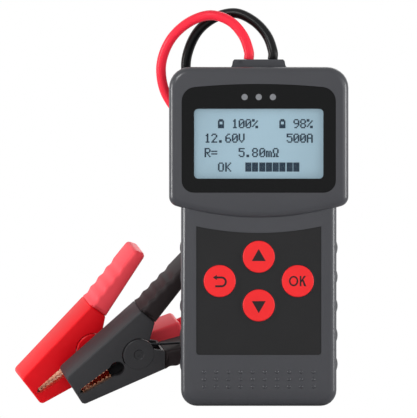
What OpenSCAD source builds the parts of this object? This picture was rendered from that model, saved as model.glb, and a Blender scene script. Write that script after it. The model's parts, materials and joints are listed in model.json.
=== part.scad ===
// Handheld battery tester with a pair of clamp leads.
// The tester stands on its lower end: X to the right, the face towards -Y, Z up.
// The origin is at the middle of the lower end.

/* [Case] */
// Height of the case, without the boss for the leads
case_h = 170; // [160:1:185]
// Thickness of the case at the head
case_t = 30; // [29:0.5:36]
// Width of the head
head_w = 90; // [88:1:100]
// Width of the grip
grip_w = 78; // [76:1:82]
// How far the face of the grip lies behind the face of the head
face_step = 2; // [1:0.1:2.4]
// Height of the lower corners of the head above the lower end
chin_z = 100; // [98:1:102]
// How far the lower edge of the head bows down
chin_bow = 6; // [4:0.5:8]
// Radius of the upper corners of the head
head_r = 10.5; // [8:0.5:12]
// Radius of the lower corners of the head
chin_r = 5; // [4:0.5:6]
// Radius of the lower corners of the grip
grip_r = 8; // [6:0.5:10]
// Rounding of the outer edges
edge_r = 3.6; // [2.5:0.1:4]
// Thickness of the side walls
wall = 2.2; // [1.8:0.1:2.6]
// Thickness of the front wall of the head
head_wall = 3; // [2.6:0.1:3.4]
// Thickness of the front wall of the grip
grip_wall = 2.6; // [2.2:0.1:3]
// Distance of the parting line behind the face of the head
seam_depth = 16; // [15:0.5:17]
// Height of the tongue that locates the two covers
tongue_h = 1.2; // [0.8:0.1:2]
// Clearance round the tongue and other fixed parts
fit = 0.1; // [0.05:0.01:0.2]

/* [Side ribs and studs] */
// Number of finger ribs on each side
rib_n = 5; // [3:1:6]
// Distance between finger ribs
rib_pitch = 14.6; // [12:0.2:15]
// Height of the lowest finger rib
rib_z = 21; // [18:1:24]
// Radius of the crown of a finger rib
rib_r = 8.5; // [6:0.5:12]
// How far a finger rib stands out
rib_out = 0.55; // [0.3:0.05:0.8]
// Number of studs in a row
stud_n = 10; // [6:1:10]
// Distance between studs in a row
stud_pitch = 6.1; // [5:0.1:6.4]
// Distance between rows of studs
stud_row = 3.7; // [3:0.1:4]
// Height of the lowest row of studs
stud_z = 9.6; // [9:0.1:11]
// Radius of a stud
stud_r = 0.95; // [0.6:0.05:1.2]
// Height of a stud
stud_h = 0.4; // [0.2:0.05:0.6]

/* [Screen] */
// Gap between the lens and the sides of the head
lens_side = 6.4; // [6:0.1:8]
// Gap between the lens and the top of the head
lens_top = 8.6; // [8:0.1:10]
// Gap between the lens and the lower corners of the head
lens_low = 7; // [6:0.1:8]
// How far the upper edge of the lens bows up
lens_bow = 1.5; // [0.5:0.1:2.5]
// Radius of the lower corners of the lens
lens_r = 6; // [4:0.5:7]
// Thickness of the lens
lens_t = 1.5; // [1:0.1:1.8]
// Depth of the lens below the face
lens_sunk = 0.2; // [0:0.05:0.4]
// Width of the visible display
view_w = 64.6; // [56:0.2:66]
// Height of the visible display
view_h = 35; // [30:0.2:36]
// Distance from the top of the lens to the display
view_top = 12.4; // [12:0.1:14]
// Rim of display glass round the visible area
glass_rim = 2.4; // [2:0.1:2.8]
// Thickness of the display glass
glass_t = 2.8; // [2:0.1:3]
// Thickness of the sheet of the display frame
frame_t = 0.5; // [0.4:0.05:0.6]
// Distance of the status lights above the display
light_up = 5.9; // [5.4:0.1:6.4]
// Distance between the status lights
light_pitch = 7.1; // [6:0.1:9]
// Diameter of a light pipe
light_d = 3.1; // [2:0.1:3.2]

/* [Keys] */
// Width of the keypad panel
keypad_w = 62.6; // [61:0.2:66]
// Height of the lower edge of the keypad panel
keypad_z = 25.6; // [24:0.2:28]
// Gap between the head and the keypad panel
keypad_gap = 7.3; // [6:0.1:8]
// Thickness of the keypad panel
keypad_t = 0.5; // [0.3:0.1:0.6]
// Depth of the recess for the keypad panel
keypad_sunk = 0.7; // [0.6:0.1:0.9]
// Diameter of a key
key_d = 16; // [13:0.5:16.5]
// Height of the middle of the four keys
key_z = 62.6; // [61:0.2:64]
// Distance of the upper and lower keys from the middle
key_rise = 12.2; // [11.8:0.1:13]
// Distance of the side keys from the middle
key_reach = 19.6; // [18.5:0.1:21]
// Travel of a key
key_travel = 0.6; // [0.3:0.1:0.6]
// How far a key stands out of the keypad panel
key_out = 0.7; // [0.6:0.1:1]
// Running clearance of a key
key_fit = 0.1; // [0.05:0.01:0.15]

/* [Inside] */
// Thickness of the circuit board
board_t = 1.6; // [1.2:0.1:2]
// Width of the circuit board
board_w = 66; // [65:0.5:67]
// Diameter of the core of a screw
screw_d = 2.5; // [2:0.1:3]
// Diameter of the head of a case screw
screw_head = 5; // [4.4:0.1:5.6]
// Wall round a screw
boss_wall = 1.9; // [1.5:0.1:2]
// Side of the control chip
chip_w = 12; // [10:0.5:14]
// Diameter of a capacitor
capacitor_d = 8; // [6:0.5:8]
// Height of the capacitors, the load resistor and the buzzer
tall_h = 9; // [8:0.1:10]
// Length of the load resistor
resistor_l = 24; // [20:1:26]
// Width of the load resistor
resistor_w = 10; // [8:0.5:12]
// Width of a power transistor
transistor_w = 10; // [9:0.5:11]
// Height of a power transistor along the board
transistor_l = 15; // [13:0.5:16]
// Thickness of a power transistor
transistor_t = 4.5; // [4:0.1:5]
// Diameter of the buzzer
buzzer_d = 12; // [9:0.5:13]

/* [Lead boss] */
// Width of the boss at its foot
boss_w = 27.8; // [26:0.2:32]
// Width of the boss at its top
boss_top_w = 24.8; // [24:0.2:26]
// Height of the boss
boss_h = 3.8; // [3:0.1:6]
// Depth of the boss from front to back
boss_t = 14; // [12:0.5:16]

/* [Clamps] */
// Width of a clamp
clamp_w = 18.5; // [16:0.5:20]
// Wall of the clamp shells
shell_t = 2; // [1.6:0.1:2.2]
// Distance from the pin to the tip of the nose
nose_l = 37; // [35:0.5:38]
// Height of the upper half of the nose
nose_h = 10.6; // [10:0.2:11.2]
// Height of the lower half of the nose
lower_nose_h = 6.6; // [6.4:0.1:7]
// Height of the upper shell at its joint with the grip
heel_h = 18.8; // [18.4:0.2:19.2]
// Height of the lower shell at its joint with the grip
lower_heel_h = 14.4; // [14.2:0.1:14.8]
// Distance from the pin to the near end of the joint with the grip
heel_l = 9.7; // [9.4:0.1:10.4]
// Slant of the joint with the upper grip
upper_slant = 2.6; // [2:0.2:3.2]
// Slant of the joint with the lower grip
lower_slant = 2.4; // [1.6:0.2:3]
// Radius of the round ear at the pin
ear_r = 8; // [7.6:0.1:8.2]
// How far the ear stands out of the shell
ear_out = 0.3; // [0.2:0.1:0.5]
// Gap round the ear
ear_gap = 0.6; // [0.4:0.1:0.8]
// Rounding of the edges of the shells
shell_edge = 0.8; // [0.6:0.1:1.2]
// Rounding of the edges of the grips
grip_edge = 1.8; // [1.2:0.1:2]
// Running clearance between the two halves
clamp_fit = 0.2; // [0.15:0.05:0.3]
// Diameter of the pin
pin_d = 4.4; // [3.6:0.1:4.6]
// Diameter of the spring wire
wire_d = 1.2; // [1:0.1:1.3]
// Mean radius of the spring
spring_r = 3.3; // [3.2:0.05:3.5]
// Distance between the teeth of the jaws
tooth_pitch = 2.3; // [2:0.1:3]
// Height of a tooth
tooth_h = 0.9; // [0.7:0.1:1.2]
// Thickness of the copper of the jaws
copper_t = 1; // [0.8:0.1:1.2]
// Length of the upper grip from the pin
upper_grip_l = 47.5; // [44:0.5:49]
// Length of the lower grip from the pin
lower_grip_l = 40; // [38:0.5:41]
// Wall of the grips
grip_t = 1.5; // [1.2:0.1:1.8]
// Roll of the clamps about their own length
clamp_roll = 22; // [20:0.5:23]

/* [Leads] */
// Diameter of a lead
lead_d = 5; // [4.6:0.1:5]

/* [Hidden] */

$fn = 48;
over = 1; // how far a cut runs past the face that it opens
sink = 0.02; // how far solids of one piece run into each other

// Depths, from the front to the back
head_face = -case_t / 2;
grip_face = head_face + face_step;
back_face = case_t / 2;
seam_y = head_face + seam_depth;
head_in = head_face + head_wall;
grip_in = grip_face + grip_wall;
lens_y = head_face + lens_sunk;
glass_y = head_in + frame_t;
light_box_y = glass_y + glass_t;
board_y = head_in + 6.1;
light_box_t = board_y - light_box_y;
board_back = board_y + board_t;
keypad_y = grip_face + keypad_sunk - keypad_t;

// Heights and widths that follow from the case
lens_hw = head_w / 2 - lens_side;
lens_bottom = chin_z + lens_low;
lens_apex = case_h - lens_top;
lens_top_r = lens_r + 1;
view_z1 = lens_apex - view_top;
view_z0 = view_z1 - view_h;
glass_hw = view_w / 2 + glass_rim;
light_z = view_z1 + light_up;
light_x = [-light_pitch, 0, light_pitch];
board_top = light_z + 4;
board_low = 14;
tail_hw = 9;
tail_low = wall + 0.6;
key_at = [[0, key_z + key_rise], [-key_reach, key_z], [key_reach, key_z], [0, key_z - key_rise]];

// Screws: [x, z]
screw_boss_r = screw_d / 2 + boss_wall;
case_screw_x = head_w / 2 - wall - screw_boss_r - 2;
case_screws_at = [[-case_screw_x, case_h - 11], [case_screw_x, case_h - 11],
    [-(grip_w / 2 - grip_r), 9.5], [grip_w / 2 - grip_r, 9.5]];
screw_sunk = 6;
board_post_r = 2.6;
board_screw_x = board_w / 2 - board_post_r - 1;
board_screw_z = view_z0 - glass_rim - board_post_r - 3.6;
board_screws_at = [for (z = [keypad_z - 5.1, board_screw_z], s = [-1, 1]) [s * board_screw_x, z]];

// Leads in the boss
lead_r = lead_d / 2;
lead_x = [-5, 7];
boss_z = case_h + boss_h;
neck_hw = boss_top_w / 2 - 1.4;
neck_t = boss_t - 4;

// ---------- outlines ----------

// Points of an arc round c with radius r, from angle a to angle b
function arc(c, r, a, b, n) = [for (i = [0:n]) let (t = a + (b - a) * i / n) c + r * [cos(t), sin(t)]];

// The same arc without its ends, to join two that are tangent to it
function inner_arc(c, r, a, b, n) = let (all = arc(c, r, a, b, n)) [for (i = [1:n - 1]) all[i]];

// Radius of a bowed edge that is tangent to two corners of radius r at x = +-hw,
// and reaches bow further out than they do
function bow_radius(hw, r, bow) = (pow(hw - r, 2) + pow(bow + r, 2) - r * r) / (2 * bow);

// Outline with a straight edge at height flat and a bowed one whose corners reach height bent.
// It runs anticlockwise when bent lies above flat
function bowed(hw, flat, bent, bow, r_flat, r_bent, inset) =
    let (s = bent > flat ? 1 : -1)
    let (big = bow_radius(hw, r_bent, bow))
    let (corner = [hw - r_bent, bent - s * r_bent])
    let (centre = [0, bent + s * (bow - big)])
    let (lean = atan2(abs(corner.y - centre.y), corner.x))
    concat(
        arc([-hw + r_flat, flat + s * r_flat], r_flat - inset, 180, 180 + s * 90, 7),
        arc([hw - r_flat, flat + s * r_flat], r_flat - inset, s * 270, s * 360, 7),
        arc(corner, r_bent - inset, 0, s * lean, 6),
        inner_arc(centre, big - inset, s * lean, s * (180 - lean), 16),
        arc([-corner.x, corner.y], r_bent - inset, s * (180 - lean), s * 180, 6));

function unit(v) = v / norm(v);

// Outline with round corners, from [x, y, r] for each corner
function rounded_line(corners) =
    let (n = len(corners))
    [for (i = [0:n - 1])
        let (c = corners[i], p = [c.x, c.y], before = corners[(i + n - 1) % n], after = corners[(i + 1) % n])
        let (a = unit([before.x, before.y] - p), b = unit([after.x, after.y] - p))
        let (half = acos(a * b) / 2, centre = p + unit(a + b) * c.z / sin(half))
        let (from = p + a * c.z / tan(half) - centre, to = p + b * c.z / tan(half) - centre)
        for (k = [0:3]) centre + c.z * unit((1 - k / 3) * from + k / 3 * to)];

// Outline that runs clockwise, moved inwards by d
function inset_line(line, d) =
    let (n = len(line))
    [for (i = [0:n - 1])
        let (a = unit(line[i] - line[(i + n - 1) % n]), b = unit(line[(i + 1) % n] - line[i]))
        line[i] + d / (1 + a * b) * [a.y + b.y, -a.x - b.x]];

function head_line(inset) = bowed(head_w / 2, case_h, chin_z, chin_bow, head_r, chin_r, inset);

function lens_line(inset) =
    bowed(lens_hw, lens_bottom, lens_apex - lens_bow, lens_bow, lens_r, lens_top_r, inset);

// The grip runs up into the head as far as its middle
function grip_line(inset) =
    let (hw = grip_w / 2)
    let (top = chin_z + 18)
    concat(
        arc([hw - grip_r, grip_r], grip_r - inset, 0, -90, 7),
        arc([-hw + grip_r, grip_r], grip_r - inset, -90, -180, 7),
        [[-hw + inset, top - inset], [hw - inset, top - inset]]);

// ---------- shapes ----------

// A flat piece that starts at depth y and is t thick, from an outline in X and Z
module slab(y, t) translate([0, y + t, 0]) rotate([90, 0, 0]) linear_extrude(t) children();

// Puts a piece that is turned round Z so that it points out of the face at x, z
module facing(x, y, z) translate([x, y, z]) rotate([90, 0, 0]) children();

module block(x0, x1, y0, y1, z0, z1) translate([x0, y0, z0]) cube([x1 - x0, y1 - y0, z1 - z0]);

module rounded(w, h, r) {
    translate([-w / 2 + r, r]) square([w - 2 * r, h - 2 * r]);
    translate([-w / 2 + r, 0]) square([w - 2 * r, h]);
    translate([-w / 2, r]) square([w, h - 2 * r]);
    for (x = [-w / 2 + r, w / 2 - r], z = [r, h - r]) translate([x, z]) circle(r);
}

// Skin over a stack of outlines, each a list of points that runs clockwise seen from before the first
module skin(rings) {
    n = len(rings[0]);
    last = (len(rings) - 1) * n;
    polyhedron(
        points = [for (ring = rings, p = ring) p],
        faces = concat(
            [[for (i = [0:n - 1]) i]],
            [for (k = [0:len(rings) - 2], i = [0:n - 1])
                [k * n + i, (k + 1) * n + i, (k + 1) * n + (i + 1) % n, k * n + (i + 1) % n]],
            [[for (i = [n - 1:-1:0]) last + i]]));
}

// A slab between two depths whose outer face is rounded off all round by edge_r.
// line gives the outline for an inset, clockwise seen from the front
module soft_slab(line, outer_y, inner_y) {
    s = sign(inner_y - outer_y);
    steps = 4;
    rings = concat(
        [[for (p = line(0)) [p.x, inner_y, p.y]]],
        [for (k = [0:steps]) let (a = 90 * k / steps)
            [for (p = line(edge_r * (1 - cos(a)))) [p.x, outer_y + s * edge_r * (1 - sin(a)), p.y]]]);
    skin(s < 0 ? rings : [for (k = [len(rings) - 1:-1:0]) rings[k]]);
}

module case_area(inset) {
    polygon(head_line(inset));
    polygon(grip_line(inset));
}

// Round ridges for the fingers on both sides, between two depths
module side_ribs(y0, y1) {
    axis_x = grip_w / 2 + rib_out - rib_r;
    for (s = [-1, 1], k = [0:rib_n - 1])
        intersection() {
            translate([s * axis_x, y1, rib_z + k * rib_pitch]) rotate([90, 0, 0])
                cylinder(h = y1 - y0, r = rib_r);
            block(s > 0 ? grip_w / 2 - 1 : -grip_w / 2 - 1, s > 0 ? grip_w / 2 + 1 : -grip_w / 2 + 1,
                y0, y1, rib_z + k * rib_pitch - rib_r, rib_z + k * rib_pitch + rib_r);
        }
}

module keypad_area(inset) {
    big = bow_radius(head_w / 2, chin_r, chin_bow);
    difference() {
        translate([0, keypad_z + inset]) rounded(keypad_w - 2 * inset, chin_z - keypad_z, 1.5);
        translate([0, chin_z - chin_bow + big]) circle(big + keypad_gap + inset, $fn = 360);
    }
}

// ---------- case ----------

module front_cover() {
    rib_half = 8;
    color("#494b4f") difference() {
        union() {
            difference() {
                union() {
                    soft_slab(function(i) head_line(i), head_face, seam_y);
                    soft_slab(function(i) grip_line(i), grip_face, seam_y);
                    side_ribs(seam_y - rib_half, seam_y);
                }
                slab(head_in, seam_y - head_in + over) polygon(head_line(wall));
                slab(grip_in, seam_y - grip_in + over) polygon(grip_line(wall));
            }
            slab(seam_y - sink, tongue_h + sink) difference() {
                case_area(wall / 2 + fit);
                case_area(wall);
            }
            for (p = case_screws_at) facing(p.x, seam_y, p.y)
                cylinder(h = seam_y - (p.y > chin_z ? head_in : grip_in) + sink, r = screw_boss_r);
            for (p = board_screws_at) facing(p.x, board_y, p.y)
                cylinder(h = board_y - (p.y > chin_z ? head_in : grip_in) + sink, r = board_post_r);
            studs();
        }
        // seat of the lens, and the windows behind it
        slab(head_face - over, lens_sunk + lens_t + over) polygon(lens_line(-fit));
        translate([0, 0, view_z0 - 0.5]) slab(head_face, head_wall + over)
            rounded(view_w + 1, view_h + 1, 2);
        for (x = light_x) facing(x, head_in + over, light_z)
            cylinder(h = head_wall + over, d = light_d + 2 * fit);
        // seat of the keypad panel, and the holes for the keys
        slab(grip_face - over, keypad_sunk + over) keypad_area(-fit);
        for (p = key_at) facing(p.x, grip_in + over, p.y)
            cylinder(h = grip_wall + over, r = key_d / 2 + key_fit, $fn = 96);
        // holes for the screws, the boss and the socket
        for (p = concat(case_screws_at, board_screws_at))
            facing(p.x, seam_y + over, p.y)
                cylinder(h = seam_y + over - head_in - 1.5, r = screw_d / 2 + fit / 2);
        boss_slot();
        socket_slot();
    }
}

// Rows of round studs under the keypad panel
module studs() {
    rows = 3;
    for (i = [0:stud_n - 1], k = [0:rows - 1])
        facing((i - (stud_n - 1) / 2) * stud_pitch, grip_face + sink, stud_z + k * stud_row)
            cylinder(h = stud_h + sink, r1 = stud_r, r2 = stud_r * 0.6, $fn = 24);
}

module rear_cover() {
    rib_half = 8;
    color("#494b4f") difference() {
        union() {
            difference() {
                union() {
                    soft_slab(function(i) head_line(i), back_face, seam_y);
                    soft_slab(function(i) grip_line(i), back_face, seam_y);
                    side_ribs(seam_y, seam_y + rib_half);
                }
                slab(seam_y - over, back_face - wall - seam_y + over) case_area(wall);
                slab(seam_y - over, tongue_h + fit + over) case_area(wall / 2);
            }
            for (p = case_screws_at) facing(p.x, back_face - wall + sink, p.y)
                cylinder(h = back_face - wall + sink - seam_y, r = screw_head / 2 + 1.2);
        }
        for (p = case_screws_at) {
            facing(p.x, back_face + over, p.y) cylinder(h = screw_sunk + over, r = screw_head / 2 + fit);
            facing(p.x, back_face, p.y) cylinder(h = case_t, r = screw_d / 2 + 3 * fit);
        }
        boss_slot();
    }
}

// Slot in the top of both covers that holds the neck of the boss
module boss_slot() {
    block(-neck_hw - fit, neck_hw + fit, seam_y - neck_t / 2 - fit, seam_y + neck_t / 2 + fit,
        case_h - wall - 4, case_h + over);
}

module lead_boss() {
    flange = 1.6;
    color("#3f4145") difference() {
        union() {
            slab(seam_y - boss_t / 2, boss_t) polygon([[-boss_w / 2, case_h], [boss_w / 2, case_h],
                [boss_w / 2 - 0.5, case_h + 0.8], [boss_top_w / 2 + 0.6, boss_z - 0.8],
                [boss_top_w / 2 - 0.2, boss_z], [-boss_top_w / 2 + 0.2, boss_z],
                [-boss_top_w / 2 - 0.6, boss_z - 0.8], [-boss_w / 2 + 0.5, case_h + 0.8]]);
            block(-neck_hw, neck_hw, seam_y - neck_t / 2, seam_y + neck_t / 2,
                case_h - wall - sink, case_h + sink);
            block(-neck_hw - 2, neck_hw + 2, seam_y - boss_t / 2, seam_y + boss_t / 2,
                case_h - wall - flange, case_h - wall);
        }
        for (x = lead_x) translate([x, seam_y, case_h - wall - flange - over])
            cylinder(h = wall + flange + boss_h + 2 * over, r = lead_r + fit / 2);
        facing(2 - neck_hw, seam_y - boss_t / 2 + 0.6, case_h + boss_h * 0.6) cylinder(h = 2, r = 0.8);
    }
}

// ---------- screen ----------

module screen_lens() {
    color("#1b1c1e") slab(lens_y, lens_t) difference() {
        polygon(lens_line(0));
        for (x = light_x) translate([x, light_z]) circle(d = light_d + fit);
    }
}

// Clear rods that bring the lights to the face, moulded on one bar
module light_pipes() {
    bar_t = 1;
    color("#9a9c9e") {
        for (x = light_x)
            facing(x, board_y - 1.2, light_z) cylinder(h = board_y - 1.2 - lens_y, d = light_d);
        difference() {
            block(-light_pitch - 3, light_pitch + 3, head_in, head_in + bar_t, light_z - 2.2, light_z + 3);
            for (x = light_x)
                facing(x, head_in + bar_t + over, light_z)
                    cylinder(h = bar_t + 2 * over, d = light_d - sink);
        }
    }
}

module status_leds() {
    color("#f2efe0") for (x = light_x)
        block(x - 1.4, x + 1.4, board_y - 1.1, board_y, light_z - 0.9, light_z + 0.9);
}

// Folded frame that holds the glass and the backlight on the board
module display_frame() {
    outer = 2 * (glass_hw + frame_t + fit);
    outer_h = view_h + 2 * (glass_rim + frame_t + fit);
    color("#8f9296") difference() {
        translate([0, 0, view_z0 - glass_rim - frame_t - fit])
            slab(head_in, board_y - head_in) translate([-outer / 2, 0]) square([outer, outer_h]);
        translate([0, 0, view_z0 - glass_rim - fit]) slab(glass_y, board_y - glass_y + over)
            translate([-glass_hw - fit, 0]) square([2 * (glass_hw + fit), view_h + 2 * (glass_rim + fit)]);
        translate([0, 0, view_z0 - 0.8]) slab(head_in - over, frame_t + 2 * over)
            translate([-view_w / 2 - 0.8, 0]) square([view_w + 1.6, view_h + 1.6]);
    }
}

module display_glass() {
    color("#a5bccb") translate([0, 0, view_z0 - glass_rim])
        slab(glass_y, glass_t) translate([-glass_hw, 0]) square([2 * glass_hw, view_h + 2 * glass_rim]);
}

module backlight() {
    color("#e6ecef") translate([0, 0, view_z0 - glass_rim])
        slab(light_box_y, light_box_t) translate([-glass_hw, 0])
            square([2 * glass_hw, view_h + 2 * glass_rim]);
}

// ---------- keys ----------

module keypad_panel() {
    color("#2e2e30") slab(keypad_y, keypad_t) difference() {
        keypad_area(0);
        for (p = key_at) translate(p) circle(r = key_d / 2 + 1.5 * key_fit, $fn = 96);
    }
}

// A key turned about its own axis: stem, flange that keeps it in, and cap
flange_low = board_y - grip_in - key_fit - 1;
stem_low = flange_low - 1.3;
key_high = board_y - keypad_y + key_out;
module key(p) {
    cap_r = key_d / 2;
    bevel = 0.35;
    color("#f23434") facing(p.x, board_y, p.y) rotate_extrude($fn = 96)
        polygon([[0, stem_low], [1.9, stem_low], [1.9, flange_low], [cap_r + 1.2, flange_low],
            [cap_r + 1.2, flange_low + 1], [cap_r, flange_low + 1], [cap_r, key_high - bevel],
            [cap_r - bevel, key_high], [0, key_high]]);
}

module key_up() key(key_at[0]);
module key_back() key(key_at[1]);
module key_ok() key(key_at[2]);
module key_down() key(key_at[3]);

// Plungers of the switches, which the keys push and which push the keys back
switch_h = 1.4;
plunger_r = 1.7;
module plunger(p) {
    color("#202124") facing(p.x, board_y - (switch_h - key_travel - 0.1), p.y)
        cylinder(h = stem_low - switch_h + key_travel + 0.1, r = plunger_r);
}

module plunger_up() plunger(key_at[0]);
module plunger_back() plunger(key_at[1]);
module plunger_ok() plunger(key_at[2]);
module plunger_down() plunger(key_at[3]);

module key_switches() {
    side = 6;
    color("#c3c6c9") for (p = key_at) difference() {
        block(p.x - side / 2, p.x + side / 2, board_y - switch_h, board_y, p.y - side / 2, p.y + side / 2);
        facing(p.x, board_y - 0.05, p.y) cylinder(h = switch_h + over, r = plunger_r + 0.05);
    }
}

// ---------- board and what is on it ----------

module circuit_board() {
    color("#1f6b3f") slab(board_y, board_t) difference() {
        union() {
            translate([-board_w / 2, board_low]) square([board_w, board_top - board_low]);
            translate([-tail_hw, tail_low]) square([2 * tail_hw, board_low - tail_low + sink]);
        }
        for (p = board_screws_at) translate(p) circle(r = screw_d / 2 + 2 * fit);
    }
}

module control_chip() {
    color("#222326") {
        block(-chip_w / 2, chip_w / 2, board_back, board_back + 1.4, key_z - chip_w / 2, key_z + chip_w / 2);
        block(chip_w / 2 + 4, chip_w, board_back, board_back + 1.6, key_z + chip_w, key_z + 1.4 * chip_w);
    }
}

// The load parts sit behind the display, one above the other
load_z = view_z0 + 4;
module capacitors() {
    color("#2c3e78") for (k = [0, 1])
        translate([-resistor_l / 2 - 6 - k * (capacitor_d + 2), board_back, load_z + resistor_w / 2])
            rotate([-90, 0, 0]) cylinder(h = tall_h, d = capacitor_d);
}

module load_resistor() {
    color("#d8d4c8")
        block(-resistor_l / 2 + 4, resistor_l / 2 + 4,
            board_back, board_back + tall_h, load_z, load_z + resistor_w);
}

module power_transistors() {
    top = load_z - 6;
    color("#232427") for (s = [-1, 1])
        block(s * (transistor_w + 2) - transistor_w / 2, s * (transistor_w + 2) + transistor_w / 2,
            board_back, board_back + transistor_t, top - transistor_l, top);
}

module buzzer() {
    color("#1d1e20") translate([-buzzer_d - 6, board_back, keypad_z + 10]) rotate([-90, 0, 0]) difference() {
        cylinder(h = tall_h, d = buzzer_d);
        translate([0, 0, tall_h - 1]) cylinder(h = 1 + over, d = buzzer_d / 5);
    }
}

// Socket for the data cable, open at the lower end of the case
socket_w = 7.7;
socket_t = 3.9;
socket_low = 0.6;
module usb_socket() {
    shell = 0.4;
    color("#c0c3c6") {
        difference() {
            block(-socket_w / 2, socket_w / 2,
                board_back, board_back + socket_t, socket_low, socket_low + 9);
            block(-socket_w / 2 + shell, socket_w / 2 - shell,
                board_back + shell, board_back + socket_t - shell, socket_low - over, socket_low + 7);
        }
        block(-1.8, 1.8, board_back + socket_t / 2 - 0.5, board_back + socket_t / 2 + 0.5,
            socket_low + 1.5, socket_low + 7 + sink);
    }
}

module socket_slot() {
    block(-socket_w / 2 - 2 * fit, socket_w / 2 + 2 * fit,
        board_back - 2 * fit, board_back + socket_t + 2 * fit, -over, wall + over);
}

// Barrels that the leads are crimped in, each on a foot on the board
terminal_z = board_top - 12;
terminal_h = 8;
module lead_terminals() {
    barrel_r = lead_r + 0.8;
    color("#b98f4e") for (x = lead_x) difference() {
        union() {
            translate([x, seam_y, terminal_z]) cylinder(h = terminal_h, r = barrel_r);
            block(x - 2.4, x + 2.4, board_back, seam_y - lead_r, terminal_z, terminal_z + terminal_h);
        }
        translate([x, seam_y, terminal_z + 1]) cylinder(h = terminal_h, r = lead_r + fit / 2);
    }
}

module inner_wire(x) translate([x, seam_y, terminal_z + 1])
    cylinder(h = boss_z - terminal_z - 1, r = lead_r);
module red_inner_wire() color("#e8324a") inner_wire(lead_x[0]);
module black_inner_wire() color("#1c1c1e") inner_wire(lead_x[1]);

// A pan-head screw whose head sits at z = 0 and whose core runs down by l
module screw(l, head_r, head_h) {
    difference() {
        union() {
            cylinder(h = head_h, r = head_r);
            translate([0, 0, -l]) cylinder(h = l + sink, d = screw_d);
        }
        for (a = [0, 90]) rotate([0, 0, a]) translate([-head_r * 0.6, -0.35, head_h - 0.9])
            cube([head_r * 1.2, 0.7, 1]);
    }
}

module board_screws() {
    color("#b9bcc0") for (p = board_screws_at)
        translate([p.x, board_back, p.y]) rotate([-90, 0, 0]) screw(board_t + 2.4, 2.2, 1.3);
}

module case_screws() {
    color("#3a3b3d") for (p = case_screws_at)
        translate([p.x, back_face - screw_sunk, p.y]) rotate([-90, 0, 0])
            screw(back_face - screw_sunk - seam_y + 7, screw_head / 2, 1.9);
}

// ---------- clamps ----------
// Each clamp is drawn closed, with its pin on Y at the origin, its nose towards -X
// and its upper half towards +Z

half_w = clamp_w / 2;
in_w = half_w - shell_t;
core_w = in_w - 0.4;
grip_w2 = half_w - 0.1;
mouth = 1.5;
mouth_back = 2.9;
hole_x = -ear_r - 5;
hole_r = 3.8;
tip = clamp_fit / 2;
bite = 0.25; // half of the gap between the points of the teeth

// Joint of each half with its grip: its outer and its inner end
upper_seam = [[heel_l + 3.2, heel_h], [heel_l + 3.2 + upper_slant, 9.6]];
lower_seam = [[heel_l - lower_slant, lower_heel_h], [heel_l + 2.4, 6.4]];

// Point of a joint, drawn out to height v
function on_seam(seam, v) =
    [seam[0].x + (v - seam[0].y) * (seam[1].x - seam[0].x) / (seam[1].y - seam[0].y), v];

// Place of the pin and lean of each clamp
red_pin_at = [-85.6, 54.5, 31];
red_lean = 38;
black_pin_at = [-62, 36, 28.6];
black_lean = 33;

module in_red() translate(red_pin_at) rotate([0, -red_lean, 0]) rotate([clamp_roll, 0, 0]) children();
module in_black() translate(black_pin_at) rotate([0, -black_lean, 0]) rotate([clamp_roll, 0, 0]) children();

// A flat piece of the clamp between two distances from its middle plane, on both sides
module cheeks(w0, w1) for (s = [-1, 1])
    translate([0, s > 0 ? w1 : -w0, 0]) rotate([90, 0, 0]) linear_extrude(w1 - w0) children();

module across(w) translate([0, w, 0]) rotate([90, 0, 0]) linear_extrude(2 * w) children();

// Solid between -w and w with edges rounded by e, from an outline that runs clockwise
module soft_across(line, w, e) {
    steps = 3;
    profile = [for (k = [0:steps]) let (a = 90 * k / steps) [e * (1 - sin(a)), w - e * (1 - cos(a))]];
    rings = concat([for (k = [0:steps]) [profile[k].x, -profile[k].y]],
        [for (k = [steps:-1:0]) profile[k]]);
    skin([for (r = rings) [for (p = inset_line(line, r.x)) [p.x, r.y, p.y]]]);
}

// Outline of one half of the shell, drawn as the upper one. It runs on below the parting line, where
// the two halves are cut apart
function shell_line(nose, seam) = let (r = shell_edge + 0.3) rounded_line([[-nose_l, -3, r],
    [-nose_l - 0.2, nose, r + 1], [seam[0].x, seam[0].y, r], [seam[1].x, seam[1].y, r], [2, -3, r]]);

module below_parting() translate([0, -50]) square([400, 100 + 2 * tip], center = true);

// What both halves leave free: the mouth between the teeth, and the round hole behind it
module mouth_side() {
    polygon([[-nose_l + 1.5, -tip], [-nose_l + 3.5, mouth], [hole_x, mouth_back], [hole_x, -mouth],
        [-nose_l + 3.5, -mouth]]);
    translate([hole_x, 0]) circle(hole_r);
}

// Inside of a half of the shell
module shell_hollow(nose, heel) {
    polygon([[-nose_l + shell_t, -over], [-nose_l + shell_t, nose - shell_t],
        [heel_l + over, heel - shell_t], [heel_l + over, -over]]);
}

// Outer and inner edges of the grips, u from the pin
lower_slope = 0.344;
upper_slope = 0.368;
function upper_outer(u) = heel_h + 0.4 + (u - upper_seam[0].x) * 0.25;
function upper_inner(u) = upper_seam[1].y - 0.4 + (u - upper_seam[1].x) * upper_slope;
function lower_outer(u) = lower_heel_h + 0.5 + (u - heel_l + lower_slant) * 0.33;
function lower_inner(u) = 5.9 + (u - heel_l) * lower_slope;

// Side of the core that a grip is pushed on
module core_side(l, outer, inner) {
    polygon([[heel_l - 3, outer(heel_l) - grip_t - 1], [l - 4, outer(l - 4) - grip_t],
        [l - 3, inner(l - 3) + grip_t], [heel_l - 3, inner(heel_l) + grip_t - 0.6]]);
}

// Block that joins the core to both sides of the shell
module root_side(u, outer, inner) {
    polygon([[u - 3, outer(u) - grip_t - 1.4], [u, outer(u) - grip_t - 1.2],
        [u, inner(heel_l) + grip_t - 0.4], [u - 3, inner(heel_l) + grip_t - 0.4]]);
}

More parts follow.
